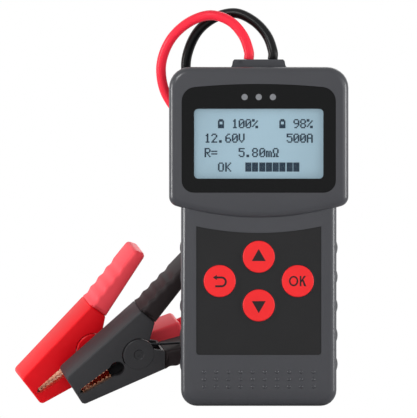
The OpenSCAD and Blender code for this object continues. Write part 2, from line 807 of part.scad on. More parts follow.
// Outline of a grip: waves for the thumb on the outer edge, and a round end
function grip_outline(l, outer, inner, seam, waves) =
    let (pitch = 6, steps = 8 * waves)
    let (low = on_seam(seam, inner(seam[1].x)) + [sink, 0])
    let (high = on_seam(seam, outer(seam[0].x)) + [sink, 0])
    let (tail = rounded_line([[high.x + 2, outer(high.x + 2), 0.5], [l, outer(l), 2.2],
        [l + 3.4, inner(l + 3.4), 2], [low.x + 2, inner(low.x + 2), 0.5]]))
    concat(
        [low, high],
        [for (i = [1:steps]) let (u = high.x + waves * pitch * i / steps)
            [u, outer(u) - 0.35 * (1 - cos(360 * i * waves / steps))]],
        [for (i = [4:11]) tail[i]]);

module lower_half() {
    mirror([0, 0, 1]) {
        difference() {
            soft_across(shell_line(lower_nose_h, lower_seam), half_w, shell_edge);
            across(in_w) shell_hollow(lower_nose_h, lower_heel_h - 0.1);
            across(half_w + over) below_parting();
            across(half_w + over) mouth_side();
            across(half_w + over) circle(ear_r - 1);
        }
        for (s = [0, 1]) mirror([0, s, 0]) ear();
        across(in_w + sink)
            root_side(lower_seam[0].x + 0.5, function(u) lower_outer(u), function(u) lower_inner(u));
        across(core_w) core_side(lower_grip_l, function(u) lower_outer(u), function(u) lower_inner(u));
    }
}

// Outer ear of the lower half, turned about the pin
module ear() {
    face = half_w + ear_out;
    bevel = 0.5;
    rotate([90, 0, 0]) rotate_extrude($fn = 96)
        polygon([[pin_d / 2 + 0.02, in_w], [ear_r, in_w], [ear_r, face - bevel], [ear_r - bevel, face],
            [pin_d / 2 + 0.6, face], [pin_d / 2 + 0.02, face - 0.6]]);
}

module upper_half() {
    inner_out = in_w - 0.15;
    difference() {
        soft_across(shell_line(nose_h, upper_seam), half_w, shell_edge);
        across(in_w) shell_hollow(nose_h, heel_h - 0.5);
        across(half_w + over) below_parting();
        across(half_w + over) mouth_side();
        across(half_w + over) circle(ear_r + ear_gap);
    }
    // inner ears on the pin, carried by ribs under the back of the shell
    difference() {
        union() {
            cheeks(inner_out - 2, inner_out) {
                circle(6);
                translate([-5, 0]) square([10, heel_h - shell_t - 2]);
            }
            cheeks(inner_out - 2, in_w + sink) translate([-5, ear_r + 1]) square([10, 3]);
        }
        across(half_w) circle(d = pin_d + 0.1);
    }
    across(in_w + sink)
        root_side(upper_seam[0].x - 0.5, function(u) upper_outer(u), function(u) upper_inner(u));
    across(core_w) core_side(upper_grip_l, function(u) upper_outer(u), function(u) upper_inner(u));
}

// Toothed copper channel, drawn as the upper one
module teeth(nose) {
    n = floor((nose_l + hole_x - 6) / tooth_pitch);
    start = -nose_l + 3.4;
    end = start + n * tooth_pitch;
    back = nose - shell_t - 1.4;
    side = concat([[start, back]],
        [for (i = [0:n - 1], k = [0, 1]) let (u = (i + k / 2) * tooth_pitch)
            [start + u, bite + k * tooth_h + u * 0.06]],
        [[end, bite + (end - start) * 0.06], [end, back]]);
    difference() {
        across(in_w - 0.05) polygon(side);
        across(in_w - 0.05 - copper_t) translate([start - over, -over])
            square([end - start + 2 * over, back - copper_t + over]);
    }
}

module clamp_grip(l, outer, inner, seam, waves) {
    difference() {
        soft_across(grip_outline(l, outer, inner, seam, waves), grip_w2, grip_edge);
        across(core_w + 0.05) core_side(l, outer, inner);
    }
}

module pin() {
    end = half_w + ear_out - 0.5;
    difference() {
        across(end) circle(d = pin_d);
        cheeks(end - 0.3, end + over) circle(r = pin_d / 4);
    }
}

turn_pitch = wire_d + 0.1;
spring_lean = 32;
// Each arm ends just before it reaches its grip, whose inner edge is given by its height at the pin
function spring_reach(edge, slope) = ((spring_r - wire_d / 2) / cos(spring_lean) + edge - 0.05)
    / (tan(spring_lean) - slope);

// One turn of the spring at distance w from the middle
module turn(w) translate([0, w, 0]) rotate([90, 0, 0])
    rotate_extrude() translate([spring_r, 0]) circle(d = wire_d, $fn = 16);

// Arm of the spring, tangent to its turns, leaning down
module arm(w, reach) {
    start = spring_r * [sin(spring_lean), cos(spring_lean)];
    translate([start.x, w, start.y]) rotate([0, 90 + spring_lean, 0])
        cylinder(h = (reach - start.x) / cos(spring_lean), d = wire_d, $fn = 16);
}

module spring() {
    for (k = [-2:1]) turn(k * turn_pitch);
    arm(-3 * turn_pitch, spring_reach(lower_inner(0), lower_slope));
}

module spring_arm() {
    turn(2 * turn_pitch);
    mirror([0, 0, 1]) arm(3 * turn_pitch, spring_reach(upper_inner(0), upper_slope));
}

module upper_grip() clamp_grip(upper_grip_l, function(u) upper_outer(u), function(u) upper_inner(u),
    upper_seam, 4);
module lower_grip() mirror([0, 0, 1])
    clamp_grip(lower_grip_l, function(u) lower_outer(u), function(u) lower_inner(u),
        lower_seam, 3);

module red_lower_jaw() color("#e0242e") in_red() lower_half();
module red_lower_teeth() color("#c98a5c") in_red() mirror([0, 0, 1]) teeth(lower_nose_h);
module red_lower_grip() color("#e8485a") in_red() lower_grip();
module red_pin() color("#9b9da0") in_red() pin();
module red_spring() color("#55575a") in_red() spring();
module red_upper_jaw() color("#e0242e") in_red() upper_half();
module red_upper_teeth() color("#c98a5c") in_red() teeth(nose_h);
module red_upper_grip() color("#e8485a") in_red() upper_grip();
module red_spring_arm() color("#55575a") in_red() spring_arm();

module black_lower_jaw() color("#3c3d40") in_black() lower_half();
module black_lower_teeth() color("#c98a5c") in_black() mirror([0, 0, 1]) teeth(lower_nose_h);
module black_lower_grip() color("#3a3233") in_black() lower_grip();
module black_pin() color("#9b9da0") in_black() pin();
module black_spring() color("#55575a") in_black() spring();
module black_upper_jaw() color("#3c3d40") in_black() upper_half();
module black_upper_teeth() color("#c98a5c") in_black() teeth(nose_h);
module black_upper_grip() color("#3a3233") in_black() upper_grip();
module black_spring_arm() color("#55575a") in_black() spring_arm();

// ---------- leads ----------

// Each lead rises from the boss, bows to the left and passes behind the head. Behind the case it
// comes down to the floor, lies in one round turn and rises to the end of its clamp
red_route = [[lead_x[0], seam_y, boss_z], [-5, 1, 178], [-8, 2, 186], [-14.5, 4, 193], [-24, 6, 196],
    [-34, 9.5, 193], [-42.5, 13, 186], [-47.5, 16.5, 177], [-49, 18.5, 167.5], [-46.5, 20, 156.5],
    [-38.5, 20.5, 145], [-27.5, 21, 135], [-16, 22, 126.5], [-5, 23, 117], [5, 24.5, 106.5],
    [13, 26, 94.5], [19, 28, 81], [22.5, 30, 66.5], [24, 32, 51.5], [24.5, 33.5, 37.5],
    [24, 34, 24.5], [21, 34, 13.5], [13, 34, 5.5], [2, 34, 2.5], [-10, 36.5, 2.5],
    [-21, 44, 2.5], [-28, 54.5, 2.5], [-30, 67, 2.5], [-27, 79.5, 2.5], [-19.5, 90, 2.5],
    [-8.5, 96.5, 2.5], [5, 98, 2.5], [18, 94, 3], [27, 85, 6], [31, 73.5, 12.5],
    [30, 62, 21], [24, 53, 30], [15, 49.5, 38.5], [5, 51, 45], [-5, 55, 48.5],
    [-15.5, 58.5, 49], [-27.5, 60.5, 47]];

black_route = [[lead_x[1], seam_y, boss_z], [7, 1, 178], [4, 4, 186], [-2.5, 7, 193], [-11.5, 10, 197],
    [-21.5, 13, 195], [-30, 15.5, 188.5], [-35, 18, 179], [-36.5, 19.5, 169], [-33.5, 20.5, 158],
    [-26, 21, 148], [-16.5, 21.5, 139], [-5.5, 22, 130], [5, 23, 120.5], [14.5, 24, 109],
    [21.5, 26, 96], [26, 28.5, 82], [28.5, 31.5, 67.5], [29.5, 34.5, 53], [30, 37, 38.5],
    [29, 39, 24.5], [26, 39.5, 13.5], [18, 39.5, 5.5], [7, 39.5, 2.5], [-3.5, 41, 2.5],
    [-13.5, 46, 2.5], [-21, 54.5, 2.5], [-24.5, 66, 2.5], [-21.5, 78, 2.5], [-14, 87, 2.5],
    [-3, 91.5, 2.5], [9, 90, 2.5], [19, 83.5, 3], [24.5, 75, 5.5], [25, 65.5, 10.5],
    [20, 56, 17], [12, 50, 24], [2, 47, 30], [-7, 45.5, 33.5]];

// Places in space of the ends of the lower grips
function clamp_point(at, lean, p) =
    let (v = -p.y * cos(clamp_roll))
    at + [p.x * cos(lean) - v * sin(lean), p.y * sin(clamp_roll), p.x * sin(lean) + v * cos(lean)];

lower_end = [lower_grip_l + 1.4, (lower_outer(lower_grip_l) + lower_inner(lower_grip_l)) / 2];

// Direction of the route at its point i
function heading(route, i) = unit(route[min(i + 1, len(route) - 1)] - route[max(i - 1, 0)]);

// Directions across the route at each of its points, each turned from the one before without twist
function across_route(route, u, i = 0) =
    let (t = heading(route, i), v = unit(u - (u * t) * t))
    i == len(route) - 1 ? [v] : concat([v], across_route(route, v, i + 1));

// A round tube along a route that sets out upwards
module tube(route, r) {
    sides = 8;
    us = across_route(route, [0, 1, 0]);
    skin([for (i = [0:len(route) - 1])
        let (u = us[i], v = cross(heading(route, i), u))
        [for (k = [0:sides - 1]) route[i] + r * (cos(360 * k / sides) * u + sin(360 * k / sides) * v)]]);
}

module red_lead() color("#ff3550")
    tube(concat(red_route, [clamp_point(red_pin_at, red_lean, lower_end)]), lead_r);
module black_lead() color("#1c1c1e")
    tube(concat(black_route, [clamp_point(black_pin_at, black_lean, lower_end)]), lead_r);

front_cover();
rear_cover();
lead_boss();
screen_lens();
light_pipes();
status_leds();
display_frame();
display_glass();
backlight();
keypad_panel();
key_up();
key_back();
key_ok();
key_down();
plunger_up();
plunger_back();
plunger_ok();
plunger_down();
circuit_board();
key_switches();
control_chip();
capacitors();
load_resistor();
power_transistors();
buzzer();
usb_socket();
lead_terminals();
red_inner_wire();
black_inner_wire();
board_screws();
case_screws();
red_lower_jaw();
red_lower_teeth();
red_lower_grip();
red_pin();
red_spring();
red_upper_jaw();
red_upper_teeth();
red_upper_grip();
red_spring_arm();
black_lower_jaw();
black_lower_teeth();
black_lower_grip();
black_pin();
black_spring();
black_upper_jaw();
black_upper_teeth();
black_upper_grip();
black_spring_arm();
red_lead();
black_lead();
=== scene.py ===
# %% [markdown]
# # A handheld battery tester and its two clamp leads
# The tester is a moulded case with a display behind a dark lens, four round keys and two leads that end
# in spring clamps. The solid pieces come ready made and stay where they are. This file gives them their
# finishes, and adds what a solid model leaves out: the leads' smooth jackets, the printed border and the
# readout of the display, the signs on the keys and the thin beads round them.

# %% Load the solids
import json
import math

import bpy
import numpy as np
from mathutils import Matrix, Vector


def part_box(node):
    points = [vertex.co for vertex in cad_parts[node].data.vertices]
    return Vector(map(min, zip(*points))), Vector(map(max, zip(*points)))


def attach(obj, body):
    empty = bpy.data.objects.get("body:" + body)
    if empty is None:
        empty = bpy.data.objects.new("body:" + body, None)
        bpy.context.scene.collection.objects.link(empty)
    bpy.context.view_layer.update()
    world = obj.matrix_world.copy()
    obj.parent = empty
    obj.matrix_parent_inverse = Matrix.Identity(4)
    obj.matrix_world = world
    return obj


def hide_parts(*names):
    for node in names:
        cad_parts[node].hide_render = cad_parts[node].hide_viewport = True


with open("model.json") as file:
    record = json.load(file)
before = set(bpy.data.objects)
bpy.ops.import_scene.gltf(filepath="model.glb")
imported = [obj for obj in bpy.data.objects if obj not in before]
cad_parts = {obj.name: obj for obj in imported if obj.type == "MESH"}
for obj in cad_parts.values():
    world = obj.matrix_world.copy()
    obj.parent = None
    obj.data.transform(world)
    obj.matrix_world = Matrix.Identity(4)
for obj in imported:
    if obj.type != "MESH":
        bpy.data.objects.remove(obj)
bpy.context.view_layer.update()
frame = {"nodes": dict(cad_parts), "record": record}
MM = 0.001

# %% [markdown]
# ## Camera
# Seen square on through a long lens, the tester's upright edges stay upright. A perspective camera far
# away comes close to that. A camera without perspective does it exactly, and its scale is plain: so many
# mm across the view. It stands in front, level with the middle of what it shows.

# %% Camera
VIEW_MM = 209.67  # what the long side of the view covers
VIEW_MIDDLE = (-25.2, 98.75)  # in mm, across and up
CAMERA_AWAY = 1200

camera_data = bpy.data.cameras.new("camera")
camera_data.type = "ORTHO"
camera_data.ortho_scale = VIEW_MM * MM
camera_data.clip_start, camera_data.clip_end = 0.01, 10
camera = bpy.data.objects.new("camera", camera_data)
camera.location = (VIEW_MIDDLE[0] * MM, -CAMERA_AWAY * MM, VIEW_MIDDLE[1] * MM)
camera.rotation_euler = (math.radians(90), 0, 0)
bpy.context.scene.collection.objects.link(camera)
bpy.context.scene.camera = camera
bpy.context.scene.view_settings.view_transform = "Standard"
print(f"the camera shows {VIEW_MM:.0f} mm")

# %% [markdown]
# ## From arrays to meshes
# A piece can be modelled by hand in edit mode, but then its sizes are hard to read back. Every new piece
# here is a set of points worked out by a formula, all points at once, and a list of the faces between
# them. A grid of points that is closed the short way round is a tube, and its open ends get a cap each.

# %% Meshes from arrays
def add_mesh(name, points, faces, smooth=True):
    """Makes an object from points in mm and a list of faces that point outwards."""
    mesh = bpy.data.meshes.new(name)
    mesh.from_pydata((np.asarray(points, float) * MM).tolist(), [], [tuple(map(int, f)) for f in faces])
    mesh.polygons.foreach_set("use_smooth", np.full(len(mesh.polygons), smooth))
    piece = bpy.data.objects.new(name, mesh)
    bpy.context.scene.collection.objects.link(piece)
    return piece


def tube_faces(rows, columns):
    """Faces between the rows of a grid that is closed the short way, and one cap at each end."""
    row, column = np.meshgrid(np.arange(rows - 1), np.arange(columns), indexing="ij")
    here = row * columns + column
    beside = row * columns + (column + 1) % columns
    quads = np.stack([here, beside, beside + columns, here + columns], axis=-1).reshape(-1, 4)
    first = np.arange(columns)[::-1]
    last = (rows - 1) * columns + np.arange(columns)
    return quads.tolist() + [first.tolist(), last.tolist()]


# %% [markdown]
# ## The leads
# Each lead is a soft jacketed cable, 5 mm thick. It stands up out of the boss, bows over to the left by
# its own weight, runs down behind the case, lies on the table in one round turn and rises into the end
# of its clamp. A curve object with a round bevel could draw it. Here a circle is carried along a computed
# line instead, because the lead's length and its ends are then known exactly. The route is a short list
# of places. Between two neighbouring places b and c the line's slope at b is half of c minus the place
# before b, and its slope at c is half of the place after c minus b.

# %% Routes of the leads
LEAD_D = 5.0
BOSS_TOP = 173.8
ROUTES = {
    "red": [(-5, 1, BOSS_TOP), (-5, 1, 178), (-8, 2, 186), (-14.5, 4, 193), (-24, 6, 196),
            (-34, 9.5, 193), (-42.5, 13, 186), (-47.5, 16.5, 177), (-49, 18.5, 167.5),
            (-46.5, 20, 156.5), (-38.5, 20.5, 145), (-27.5, 21, 135), (-16, 22, 126.5),
            (-5, 23, 117), (5, 24.5, 106.5), (13, 26, 94.5), (19, 28, 81), (22.5, 30, 66.5),
            (24, 32, 51.5), (24.5, 33.5, 37.5), (24, 34, 24.5), (21, 34, 13.5), (13, 34, 5.5),
            (2, 34, 2.5), (-10, 36.5, 2.5), (-21, 44, 2.5), (-28, 54.5, 2.5), (-30, 67, 2.5),
            (-27, 79.5, 2.5), (-19.5, 90, 2.5), (-8.5, 96.5, 2.5), (5, 98, 2.5), (18, 94, 3),
            (27, 85, 6), (31, 73.5, 12.5), (30, 62, 21), (24, 53, 30), (15, 49.5, 38.5),
            (5, 51, 45), (-5, 55, 48.5), (-15.5, 58.5, 49), (-27.5, 60.5, 47), (-40.9, 62.3, 41.1)],
    "black": [(7, 1, BOSS_TOP), (7, 1, 178), (4, 4, 186), (-2.5, 7, 193), (-11.5, 10, 197),
              (-21.5, 13, 195), (-30, 15.5, 188.5), (-35, 18, 179), (-36.5, 19.5, 169),
              (-33.5, 20.5, 158), (-26, 21, 148), (-16.5, 21.5, 139), (-5.5, 22, 130),
              (5, 23, 120.5), (14.5, 24, 109), (21.5, 26, 96), (26, 28.5, 82), (28.5, 31.5, 67.5),
              (29.5, 34.5, 53), (30, 37, 38.5), (29, 39, 24.5), (26, 39.5, 13.5), (18, 39.5, 5.5),
              (7, 39.5, 2.5), (-3.5, 41, 2.5), (-13.5, 46, 2.5), (-21, 54.5, 2.5), (-24.5, 66, 2.5),
              (-21.5, 78, 2.5), (-14, 87, 2.5), (-3, 91.5, 2.5), (9, 90, 2.5), (19, 83.5, 3),
              (24.5, 75, 5.5), (25, 65.5, 10.5), (20, 56, 17), (12, 50, 24), (2, 47, 30),
              (-7, 45.5, 33.5), (-16.7, 43.8, 34.9)],
}


def smooth_line(places, steps=6):
    """Line through the places: a cubic on each stretch, whose end slopes are half of the step between
    the neighbours on both sides."""
    p = np.asarray(places, float)
    p = np.vstack([2 * p[0] - p[1], p, 2 * p[-1] - p[-2]])
    a, b, c, d = p[:-3, None], p[1:-2, None], p[2:-1, None], p[3:, None]
    t = (np.arange(steps) / steps)[None, :, None]
    line = b + 0.5 * t * (c - a + t * (2 * a - 5 * b + 4 * c - d + t * (3 * (b - c) + d - a)))
    line = np.vstack([line.reshape(-1, 3), p[-2]])
    line[:, 2] = np.maximum(line[:, 2], LEAD_D / 2)  # a lead lies on the table, never in it
    return line


# %% A round tube along a line
def carried_sides(line, first_side):
    """Two directions across a line. The first is the one before it, made square to the line again, so
    that the tube doesn't twist. Each needs the one before, so the line is walked step by step."""
    along = np.gradient(line, axis=0)
    along /= np.linalg.norm(along, axis=1)[:, None]
    sides = np.empty_like(line)
    side = np.asarray(first_side, float)
    for i, direction in enumerate(along):
        side = side - side.dot(direction) * direction
        side /= np.linalg.norm(side)
        sides[i] = side
    return sides, np.cross(along, sides)


def add_tube(name, line, radius, columns=20):
    """Tube: at the angle a round the line, the point is line + radius * (cos a * side + sin a * other)."""
    side, other = (across[:, None] for across in carried_sides(line, (0, 1, 0)))
    a = np.linspace(0, 2 * np.pi, columns, endpoint=False)[None, :, None]
    points = line[:, None] + radius * (np.cos(a) * side + np.sin(a) * other)
    return add_mesh(name, points.reshape(-1, 3), tube_faces(len(line), columns))


# %% [markdown]
# A jacket takes the place of the plain solid lead and rides on the tester.

leads = {}
for colour, places in ROUTES.items():
    line = smooth_line(places)
    lead = add_tube(colour + "_jacket", line, LEAD_D / 2)
    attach(lead, "tester")
    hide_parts(colour + "_lead")
    leads[colour] = lead

# %% [markdown]
# ## Nodes
# The world, the materials and one modifier below are built from nodes. In each of them a node is made,
# set and linked in the same way, so one helper does it for all. It hands back the outputs of the new
# node, and the next node takes them as its inputs.

# %% A node with its settings and links
def add_node(tree, kind, inputs=(), **settings):
    """Adds a node. Each input, by its name or number, gets a value or a link from another output."""
    node = tree.nodes.new(kind)
    for setting, value in settings.items():
        setattr(node, setting, value)
    for socket, value in dict(inputs).items():
        if isinstance(value, bpy.types.NodeSocket):
            tree.links.new(value, node.inputs[socket])
        else:
            node.inputs[socket].default_value = value
    return node.outputs


# %% [markdown]
# ## Light and background
# A white studio is often a bent white wall, but strong lamps are then needed to make the wall white, and
# they wash out a dark glossy object. Here the white is only what the camera and mirror-like surfaces see
# of the world. What the world gives to diffuse surfaces is set apart from it and kept lower, so that
# colours come out as they are written.

# %% World
WHITE = (1, 1, 1, 1)
AMBIENT = 0.55  # how strongly the world lights diffuse surfaces


def seen_rays(tree):
    """1 for rays that show the background: from the camera, a mirror or clear glass."""
    path = add_node(tree, "ShaderNodeLightPath")
    total = path["Is Camera Ray"]
    for kind in ("Is Glossy Ray", "Is Transmission Ray"):
        total = add_node(tree, "ShaderNodeMath", {0: total, 1: path[kind]}, operation="MAXIMUM")[0]
    return total


world = bpy.data.worlds.new("studio")
world.use_nodes = True
tree = world.node_tree
tree.nodes.clear()
light = add_node(tree, "ShaderNodeBackground", {"Color": WHITE, "Strength": AMBIENT})[0]
backdrop = add_node(tree, "ShaderNodeBackground", {"Color": WHITE, "Strength": 1})[0]
seen = add_node(tree, "ShaderNodeMixShader", {"Fac": seen_rays(tree), 1: light, 2: backdrop})[0]
add_node(tree, "ShaderNodeOutputWorld", {"Surface": seen})
bpy.context.scene.world = world
print(len(tree.nodes), "nodes in the world")

# %% Floor
FLOOR_HALF = 1500
FLOOR_CORNERS = [(-1, -1, 0), (1, -1, 0), (1, 1, 0), (-1, 1, 0)]
FLOOR_GREY = (0.86, 0.86, 0.86, 1)

floor = add_mesh("floor", np.array(FLOOR_CORNERS) * FLOOR_HALF, [(0, 1, 2, 3)], smooth=False)
floor_finish = bpy.data.materials.new("floor_finish")
floor_finish.use_nodes = True
floor_inputs = floor_finish.node_tree.nodes["Principled BSDF"].inputs
floor_inputs["Base Color"].default_value = FLOOR_GREY
floor_inputs["Roughness"].default_value = 0.7
floor.data.materials.append(floor_finish)
print("floor:", 2 * FLOOR_HALF, "mm wide")

# %% [markdown]
# Big soft lamps light the faces. The key lamp stands low in front and is hidden from reflections, because
# its image would lie as a pale patch on the glossy faces. The edge lamp is the other way about: only its
# reflection shows, on upper edges. A narrow strip at each side of the case is mirrored in its rounded
# edges, as one fine pale line from top to bottom.

# %% Lamps
CASE_MIDDLE = (0, 0, 95)
WHOLE_MIDDLE = (-20, 10, 95)  # of the case and the clamps together
LAMPS = [  # name, place, aim, width and height in mm, power in watts
    ("key_lamp", (-220, -1150, 170), WHOLE_MIDDLE, (500, 500), 3.6),
    ("edge_lamp", (-520, -740, 660), WHOLE_MIDDLE, (260, 260), 3.0),
    ("fill_lamp", (800, -700, 350), WHOLE_MIDDLE, (500, 500), 1.4),
    ("rim_lamp", (300, 900, 700), WHOLE_MIDDLE, (500, 500), 2.0),
    ("left_strip", (-800, -150, 110), CASE_MIDDLE, (160, 420), 3.8),
    ("right_strip", (800, -150, 110), CASE_MIDDLE, (160, 420), 3.8),
]


def add_lamp(name, place, aim, size, power):
    """A soft box that points at aim. A lamp shines straight down until it is turned: pitch lifts its beam,
    and yaw turns it round the upright axis."""
    data = bpy.data.lights.new(name, "AREA")
    data.shape, data.energy = "RECTANGLE", power
    data.size, data.size_y = size[0] * MM, size[1] * MM
    lamp = bpy.data.objects.new(name, data)
    lamp.location = np.asarray(place) * MM
    x, y, z = np.subtract(aim, place)
    pitch, yaw = math.atan2(math.hypot(x, y), -z), math.atan2(y, x) - math.pi / 2
    lamp.rotation_euler = (pitch, 0, yaw)
    bpy.context.scene.collection.objects.link(lamp)
    return lamp


lamps = {row[0]: add_lamp(*row) for row in LAMPS}
lamps["key_lamp"].visible_glossy = False
lamps["edge_lamp"].visible_diffuse = False
print(len(lamps), "lamps")

# %% [markdown]
# ## Moulded plastic and rubber
# A mould gives its surface to the plastic: the case is satin and nearly smooth, the clamps are a little
# duller, and their grips are soft vinyl with a slow waviness. An image of each surface could be laid on
# it, but that needs every piece unwrapped. Noise worked out from a piece's own coordinates needs no
# unwrapping, and its sizes can be given in mm. All plastics share one recipe: a colour that drifts a
# little from place to place, a gloss that drifts with it, and a bump at the size of the real grain.

# %% A material and its noise
NOISE_LOW, NOISE_HIGH = 0.3, 0.7  # noise lies mostly between these


def linear(code):
    """Linear colour, which shaders work in, from a #rrggbb code."""
    c = np.array([int(code[i:i + 2], 16) for i in (1, 3, 5)]) / 255
    return tuple(np.where(c <= 0.04045, c / 12.92, ((c + 0.055) / 1.055) ** 2.4)) + (1.0,)


def shader_inputs(finish):
    return finish.node_tree.nodes["Principled BSDF"].inputs


def start_finish(name, colour, roughness, **others):
    """A material with the Principled shader. Other sockets are named with _ for each space."""
    finish = bpy.data.materials.new(name)
    finish.use_nodes = True
    others.update(Base_Color=linear(colour), Roughness=roughness)
    for socket, value in others.items():
        shader_inputs(finish)[socket.replace("_", " ")].default_value = value
    return finish


def noise(finish, size_mm, detail):
    """Noise whose lumps are about size_mm across, on Object coordinates, which stay put on a piece."""
    place = add_node(finish.node_tree, "ShaderNodeTexCoord")["Object"]
    return add_node(finish.node_tree, "ShaderNodeTexNoise",
                    {"Vector": place, "Scale": 1 / (size_mm * MM), "Detail": detail})["Fac"]


def spread_noise(finish, size_mm, low, high):
    """Noise that is spread over low to high."""
    return add_node(finish.node_tree, "ShaderNodeMapRange",
                    {"Value": noise(finish, size_mm, 3.0), "From Min": NOISE_LOW, "From Max": NOISE_HIGH,
                     "To Min": low, "To Max": high})["Result"]


# %% Three ways to enrich a material
def drift_colour(finish, size_mm, amount):
    """Lets the colour drift between a darker and a lighter shade of itself."""
    colour = np.array(shader_inputs(finish)["Base Color"].default_value[:3])
    dark, light = (np.append(np.minimum(1, colour * (1 + change)), 1.0) for change in (-amount, amount))
    mix = add_node(finish.node_tree, "ShaderNodeMix",
                   {"Factor": spread_noise(finish, size_mm, 0, 1), "A": dark, "B": light}, data_type="RGBA")
    finish.node_tree.links.new(mix["Result"], shader_inputs(finish)["Base Color"])


def drift_gloss(finish, size_mm, low, high):
    """Lets the roughness drift between low and high."""
    finish.node_tree.links.new(spread_noise(finish, size_mm, low, high), shader_inputs(finish)["Roughness"])


def add_grain(finish, size_mm, depth_mm, detail):
    """Fine bumps from noise."""
    bump = add_node(finish.node_tree, "ShaderNodeBump",
                    {"Strength": 1.0, "Distance": depth_mm * MM, "Height": noise(finish, size_mm, detail)})
    finish.node_tree.links.new(bump["Normal"], shader_inputs(finish)["Normal"])


# %% [markdown]
# Bare metal has a recipe of its own: it is drawn, pressed or turned, which leaves scratches far finer than
# its patches of gloss. It takes its colour from what it mirrors, so the colour itself drifts little.

# %% The two recipes
def moulded(name, colour, roughness, grain_mm=0.35, depth_mm=0.012, drift=0.05, shine=0.25):
    """Plastic or rubber: wide patches of colour, smaller ones of gloss, and one even grain."""
    finish = start_finish(name, colour, roughness, Specular_IOR_Level=shine)
    drift_colour(finish, 18, drift)
    drift_gloss(finish, 9, roughness - 0.01, roughness + 0.03)
    add_grain(finish, grain_mm, depth_mm, 0.0)
    return finish


def metal(name, colour, roughness, scratch_mm=0.6, depth_mm=0.004):
    """Bare metal: small patches of colour and of gloss, and scratches down to a sixteenth of scratch_mm."""
    finish = start_finish(name, colour, roughness, Metallic=1.0)
    drift_colour(finish, 3, 0.12)
    drift_gloss(finish, 2, roughness - 0.08, roughness + 0.1)
    add_grain(finish, scratch_mm, depth_mm, 4.0)
    return finish


# %% One finish for each kind of piece
PLASTICS = {  # colour, roughness, and where they differ: grain_mm, depth_mm, drift, shine
    "case_plastic": ("#34353a", 0.29, 0.6, 0.001, 0.025, 0.5),
    "boss_plastic": ("#434448", 0.5),
    "light_pipe": ("#7c7e82", 0.25, 0.8, 0.002, 0.03),
    "led": ("#f2efe0", 0.4),
    "diffuser": ("#e6ecef", 0.5),
    "black_part": ("#202124", 0.5),
    "board": ("#1f6b3f", 0.35, 1.2, 0.01, 0.1),
    "capacitor": ("#2c3e78", 0.25),
    "ceramic": ("#d8d4c8", 0.75, 0.3, 0.03),
    "key_red": ("#ea292c", 0.42, 0.25, 0.004, 0.03, 0.2),
    "clamp_red": ("#ea131e", 0.34, 0.6, 0.004, 0.04, 0.14),
    "clamp_black": ("#3f3f41", 0.34, 0.5, 0.004, 0.05, 0.08),
    "grip_red": ("#ff4d58", 0.42, 1.4, 0.02, 0.04),
    "grip_black": ("#2c2627", 0.42, 1.4, 0.02, 0.08, 0.1),
    "lead_red": ("#f82c42", 0.32, 1.0, 0.006, 0.03, 0.18),
    "lead_black": ("#070708", 0.3, 1.0, 0.006, 0.08, 0.2),
}
METALS = {  # colour, roughness, and where they differ: scratch_mm, depth_mm
    "steel_sheet": ("#a0a3a7", 0.35),
    "steel": ("#b9bcc0", 0.3),
    "dark_steel": ("#4a4b4d", 0.4),
    "spring_steel": ("#3c3d40", 0.38),
    "brass": ("#c39a56", 0.35),
    "copper": ("#f0ae8a", 0.25, 0.5, 0.002),
}
finishes = {name: moulded(name, *values) for name, values in PLASTICS.items()}
finishes |= {name: metal(name, *values) for name, values in METALS.items()}
print(len(finishes), "finishes")

# %% [markdown]
# ## Smooth shading on flat facets
# A solid arrives as loose flat triangles, which would show on every rounded edge. Merging their corners
# lets neighbours share one smooth shade where they meet at a shallow angle, while sharp edges stay crisp.
# It could be done once to each mesh. A modifier does it without touching the solids themselves, and one
# group of nodes serves all of them.

# %% Smooth shading by angle, as a modifier
SHARP_FROM = 32  # degrees between two facets, from which their edge stays sharp
MERGE_MM = 0.002


def make_smoothing():
    """Node group: merge close points, then shade smooth except at the sharp edges."""
    group = bpy.data.node_groups.new("smooth_by_angle", "GeometryNodeTree")
    for direction in ("INPUT", "OUTPUT"):
        group.interface.new_socket("Geometry", in_out=direction, socket_type="NodeSocketGeometry")
    start = add_node(group, "NodeGroupInput")[0]
    merged = add_node(group, "GeometryNodeMergeByDistance",
                      {"Geometry": start, "Distance": MERGE_MM * MM})[0]
    smooth = add_node(group, "GeometryNodeSetShadeSmooth", {"Geometry": merged}, domain="FACE")[0]
    angle = add_node(group, "GeometryNodeInputMeshEdgeAngle")["Unsigned Angle"]
    shallow = add_node(group, "FunctionNodeCompare", {"A": angle, "B": math.radians(SHARP_FROM)},
                       data_type="FLOAT", operation="LESS_THAN")["Result"]
    shaded = add_node(group, "GeometryNodeSetShadeSmooth", {"Geometry": smooth, "Shade Smooth": shallow},
                      domain="EDGE")[0]
    add_node(group, "NodeGroupOutput", {0: shaded})
    return group


smoothing = make_smoothing()


# %% Finish every solid by its material slot
def put_finish(piece, finish):
    piece.data.materials.clear()
    piece.data.materials.append(finish)


slot_of = {row["node"]: row["material_slot"] for row in frame["record"]["subparts"]}
for node, piece in frame["nodes"].items():
    if slot_of[node] in finishes:
        put_finish(piece, finishes[slot_of[node]])
    piece.modifiers.new("smooth", "NODES").node_group = smoothing
for colour, lead in leads.items():
    put_finish(lead, finishes["lead_" + colour])
print(len(frame["nodes"]), "solids finished")

# %% [markdown]
# ## The lens
# The lens is one clear sheet, printed on its back with a dark border that leaves a window over the
# display. A border and a pane could be two pieces, but the real sheet has no seam. The solid stays whole
# here, and its colour is decided by a rounded rectangle worked out from the coordinates, as the distance
# to a rounded box is: fold the place into one corner, take away half the box less the corner's radius,
# and see how far what is left reaches past the radius.

# %% Window in the printed lens
WINDOW_MIDDLE = (0, 131.5)
WINDOW_HALF = (32.4, 17.5)
WINDOW_CORNER = 2.0
PANE_COVERS = 0.06  # share of the display's light that the clear pane holds back


